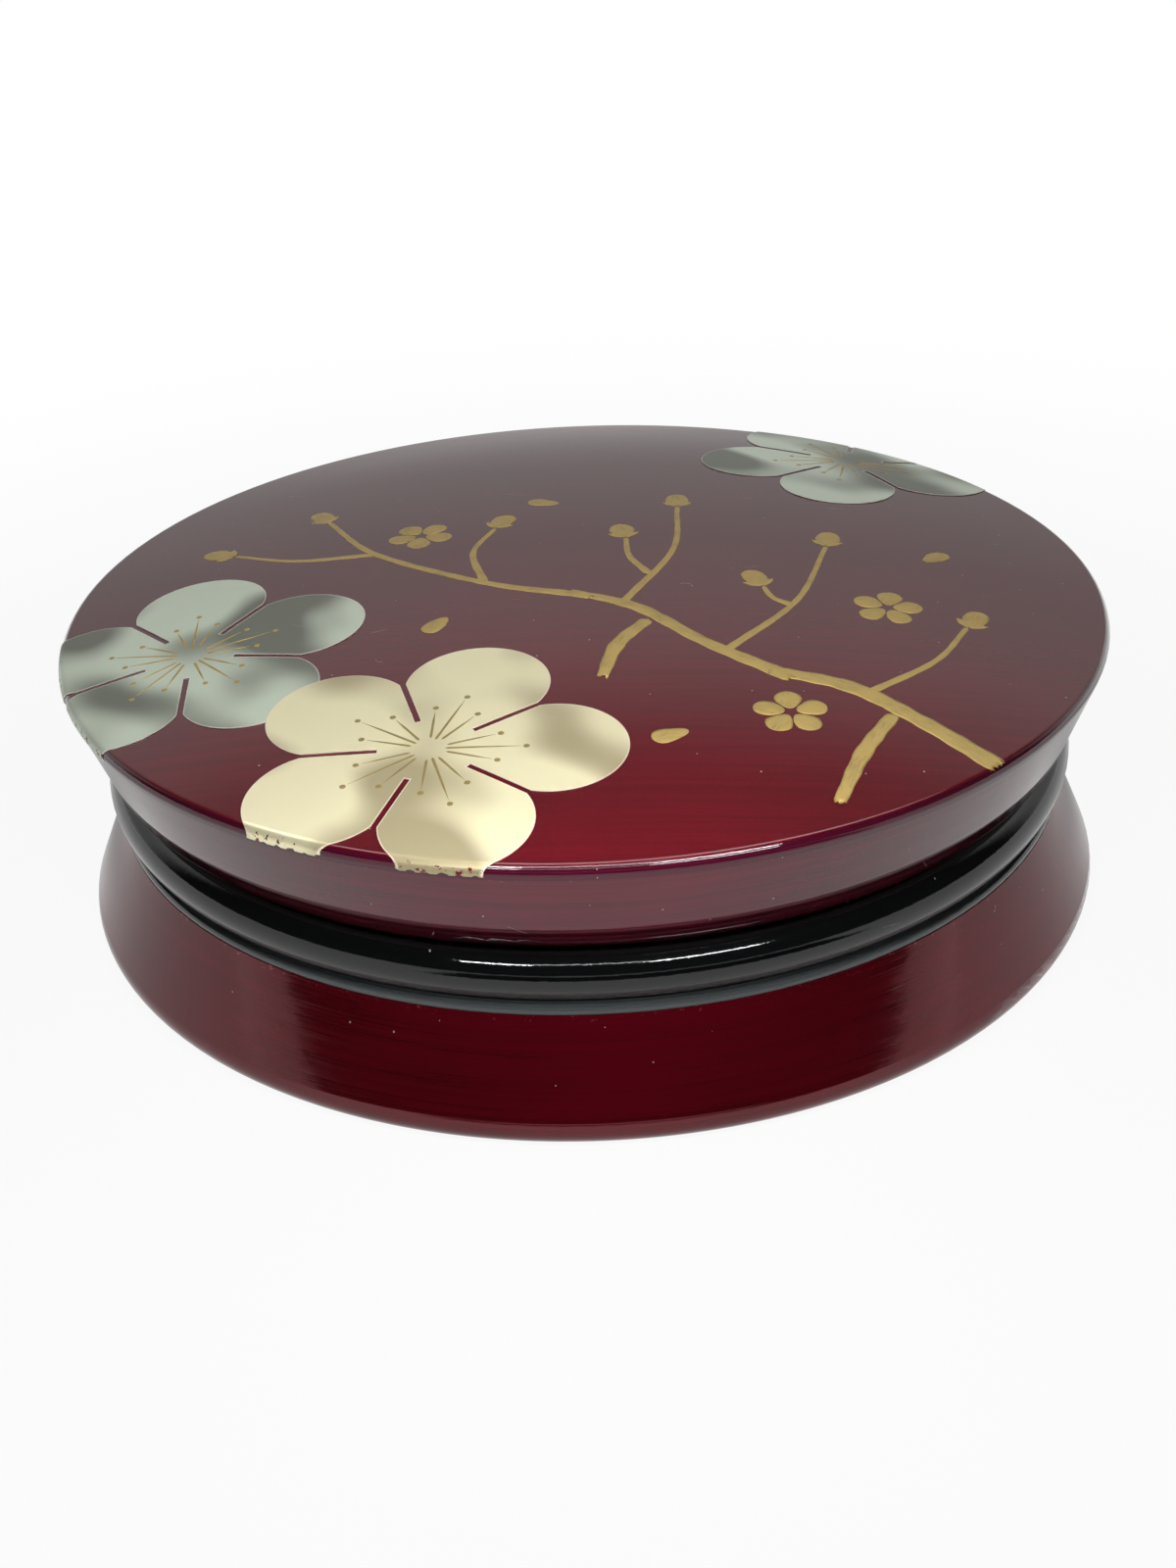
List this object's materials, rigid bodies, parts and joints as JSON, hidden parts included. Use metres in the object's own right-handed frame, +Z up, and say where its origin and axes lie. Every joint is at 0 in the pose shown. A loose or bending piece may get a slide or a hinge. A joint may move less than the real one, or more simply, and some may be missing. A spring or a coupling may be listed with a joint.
{
  "type": "lacquered sweets box",
  "caption": "Round lacquered box with a domed lift-off lid, a black beaded waist and a flared foot, for sweets or keepsakes.",
  "frame": {"origin": "centre of the foot's underside, on the surface that the box stands on", "axes": "+Z up along the turning axis, which is also the way the lid lifts; -Y towards the front, where the gold blossom is"},
  "size_m": [0.2388, 0.2388, 0.0758],
  "materials": {
    "red_lacquer": "turned wood under clear crimson lacquer, high gloss",
    "black_lacquer": "turned wood under black lacquer, high gloss",
    "gold_foil": "pale gold foil, satin",
    "silver_foil": "silver foil with a green cast, satin",
    "gold_paint": "gold powder paint, satin"
  },
  "bodies": {
    "base": {"bowl": "black_lacquer", "waist_bead": "black_lacquer", "waist_string": "black_lacquer", "foot_skirt": "red_lacquer"},
    "lid": {"lid_panel": "red_lacquer", "lid_skirt": "red_lacquer", "lid_lip": "black_lacquer", "gold_foil_front": "gold_foil", "silver_foil_front": "silver_foil", "silver_foil_back": "silver_foil"}
  },
  "joints": [
    {"name": "lid_lift", "type": "slide", "parent": "base", "child": "lid", "axis": [0, 0, 1], "range_m": [0, 0.08]}
  ]
}
